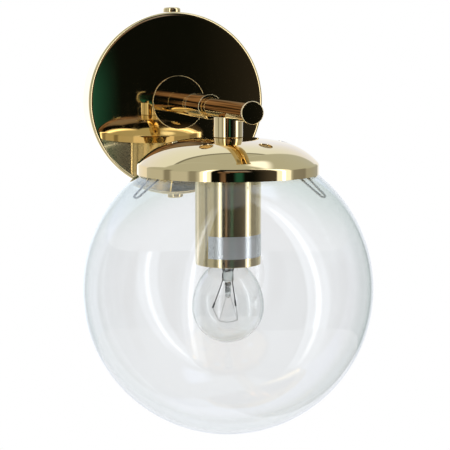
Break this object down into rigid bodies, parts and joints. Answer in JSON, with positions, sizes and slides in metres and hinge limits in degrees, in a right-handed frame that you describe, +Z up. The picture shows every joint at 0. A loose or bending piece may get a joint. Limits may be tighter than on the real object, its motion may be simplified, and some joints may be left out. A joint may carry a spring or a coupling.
{
  "type": "globe wall sconce",
  "caption": "Wall light with a clear glass globe under a spun dome, hung from a straight arm on a round wall canopy.",
  "frame": {"origin": "middle of the wall canopy, on the wall plane", "axes": "+Y into the wall, +Z up, +X to the right of someone facing the wall; the lamp stands out towards -Y"},
  "size_m": [0.18, 0.248, 0.2687],
  "materials": {
    "polished_brass": "mirror polished, pale champagne gold, lacquered",
    "satin_brass": "satin, fine turning lines round the axis",
    "plated_steel": "zinc plated, satin",
    "spring_wire": "bright drawn spring wire",
    "clear_glass": "clear blown glass",
    "bulb_clear_glass": "thin clear bulb glass",
    "silver_foil": "thin silver foil, bare",
    "base_nickel": "bright nickel",
    "black_insulator": "black vitreous insulator",
    "tungsten": "dark drawn wire",
    "holder_plastic": "white heat-resistant plastic",
    "contact_brass": "stamped brass",
    "terminal_plastic": "white nylon",
    "brown_sleeving": "brown insulation",
    "blue_sleeving": "blue insulation",
    "green_sleeving": "green and yellow insulation"
  },
  "bodies": {
    "fixture": {"arm_end_cap": "polished_brass", "arm_nipple": "plated_steel", "arm_nut": "plated_steel", "arm_sleeve_front": "polished_brass", "arm_sleeve_rear": "polished_brass", "arm_tube": "polished_brass", "arm_washer": "plated_steel", "base_disc": "polished_brass", "clip_carrier": "plated_steel", "cup_nut": "plated_steel", "earth_screw": "plated_steel", "earth_washer": "plated_steel", "earth_wire": "green_sleeving", "gallery_dome": "polished_brass", "gallery_nut": "plated_steel", "gallery_washer": "plated_steel", "knuckle": "polished_brass", "lamp_cup": "satin_brass", "lamp_label": "silver_foil", "lamp_nipple": "plated_steel", "line_wire": "brown_sleeving", "neutral_wire": "blue_sleeving", "socket_body": "holder_plastic", "socket_contact": "contact_brass", "socket_shell": "contact_brass", "terminal_block": "terminal_plastic", "terminal_fixing_screw": "plated_steel", "terminal_screws": "plated_steel", "wall_bracket": "plated_steel", "wall_canopy": "polished_brass"},
    "bulb": {"bulb_glass": "bulb_clear_glass", "bulb_base": "base_nickel", "bulb_insulator": "black_insulator", "bulb_contact": "base_nickel", "bulb_stem": "bulb_clear_glass", "bulb_leads": "tungsten", "bulb_filament": "tungsten"},
    "globe": {"glass_globe": "clear_glass"},
    "clip_1": {"globe_clip_1": "spring_wire"},
    "clip_2": {"globe_clip_2": "spring_wire"},
    "clip_3": {"globe_clip_3": "spring_wire"},
    "screw_top": {"canopy_screw_top": "polished_brass"},
    "screw_bottom": {"canopy_screw_bottom": "polished_brass"}
  },
  "joints": [
    {"name": "bulb_turn", "type": "hinge", "parent": "fixture", "child": "bulb", "pos_m": [0, -0.158, -0.08], "axis": [0, 0, 1], "continuous": true},
    {"name": "globe_turn", "type": "hinge", "parent": "fixture", "child": "globe", "pos_m": [0, -0.158, -0.1107], "axis": [0, 0, 1], "continuous": true},
    {"name": "screw_top_turn", "type": "hinge", "parent": "fixture", "child": "screw_top", "pos_m": [0, -0.009, 0.0633], "axis": [0, 0, 1], "continuous": true},
    {"name": "screw_bottom_turn", "type": "hinge", "parent": "fixture", "child": "screw_bottom", "pos_m": [0, -0.009, -0.0633], "axis": [0, 0, -1], "continuous": true},
    {"name": "clip_1_press", "type": "hinge", "parent": "fixture", "child": "clip_1", "pos_m": [0.02711, -0.18391, -0.0275], "axis": [0.6909, 0.723, 0], "range_deg": [0, 27], "stiffness_Nm_per_rad": 0.2, "springref_deg": -11.46},
    {"name": "clip_2_press", "type": "hinge", "parent": "fixture", "child": "clip_2", "pos_m": [0.00888, -0.12157, -0.0275], "axis": [-0.9715, 0.2368, 0], "range_deg": [0, 27], "stiffness_Nm_per_rad": 0.2, "springref_deg": -11.46},
    {"name": "clip_3_press", "type": "hinge", "parent": "fixture", "child": "clip_3", "pos_m": [-0.03599, -0.16853, -0.0275], "axis": [0.2807, -0.9598, 0], "range_deg": [0, 27], "stiffness_Nm_per_rad": 0.2, "springref_deg": -11.46}
  ]
}
